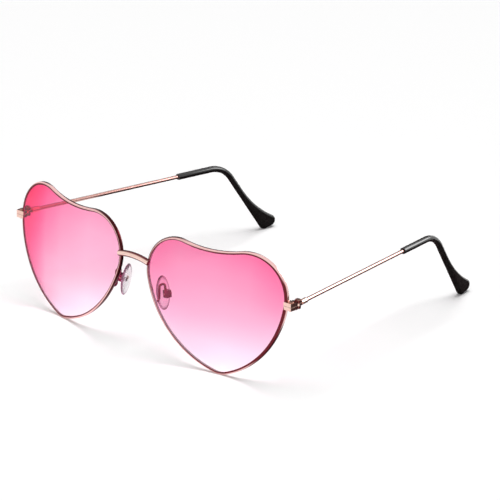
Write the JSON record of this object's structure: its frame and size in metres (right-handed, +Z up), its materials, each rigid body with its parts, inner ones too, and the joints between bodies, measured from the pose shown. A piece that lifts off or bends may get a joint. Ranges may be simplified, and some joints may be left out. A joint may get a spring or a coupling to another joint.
{
  "type": "heart shaped sunglasses",
  "caption": "Wire sunglasses with heart shaped gradient tinted lenses, arched bridge bar, rocking nose pads on looped arms, folding wire temples and black paddle tips.",
  "frame": {"origin": "on the ground under the middle of the glasses, standing open on the two heart points and the two temple tips", "axes": "+X to the wearer's left, +Y back along the temples towards the ears, +Z up; the lenses face -Y"},
  "size_m": [0.1418, 0.1356, 0.0505],
  "materials": {
    "rose_gold": "polished rose gold plating",
    "screw_metal": "turned, plated",
    "lens_tint": "clear, pink tint fading downwards",
    "tip_plastic": "polished black",
    "pad_clear": "clear, smooth"
  },
  "bodies": {
    "front": {"bridge": "rose_gold", "left_rim": "rose_gold", "left_lens": "lens_tint", "left_closing_block_upper": "rose_gold", "left_closing_block_lower": "rose_gold", "left_closing_screw": "screw_metal", "left_front_hinge_leaf": "rose_gold", "left_hinge_screw": "screw_metal", "left_pad_arm": "rose_gold", "left_pad_box": "rose_gold", "left_pad_screw": "screw_metal", "right_rim": "rose_gold", "right_lens": "lens_tint", "right_closing_block_upper": "rose_gold", "right_closing_block_lower": "rose_gold", "right_closing_screw": "screw_metal", "right_front_hinge_leaf": "rose_gold", "right_hinge_screw": "screw_metal", "right_pad_arm": "rose_gold", "right_pad_box": "rose_gold", "right_pad_screw": "screw_metal"},
    "left_temple": {"left_temple_hinge_leaf": "rose_gold", "left_temple_wire": "rose_gold", "left_temple_tip": "tip_plastic"},
    "right_temple": {"right_temple_hinge_leaf": "rose_gold", "right_temple_wire": "rose_gold", "right_temple_tip": "tip_plastic"},
    "left_pad": {"left_nose_pad": "pad_clear"},
    "right_pad": {"right_nose_pad": "pad_clear"}
  },
  "joints": [
    {"name": "left_temple_fold", "type": "hinge", "parent": "front", "child": "left_temple", "pos_m": [0.0697, -0.05264, 0.033], "axis": [0, 0.0227, 0.9997], "range_deg": [0, 83]},
    {"name": "right_temple_fold", "type": "hinge", "parent": "front", "child": "right_temple", "pos_m": [-0.0697, -0.05264, 0.033], "axis": [0, -0.0227, -0.9997], "range_deg": [0, 78]},
    {"name": "left_pad_rock", "type": "hinge", "parent": "front", "child": "left_pad", "pos_m": [0.0119, -0.06092, 0.02368], "axis": [0.1713, 0.9852, 0.0063], "range_deg": [-10, 10]},
    {"name": "right_pad_rock", "type": "hinge", "parent": "front", "child": "right_pad", "pos_m": [-0.0119, -0.06092, 0.02368], "axis": [0.1713, -0.9852, -0.0063], "range_deg": [-10, 10]}
  ]
}
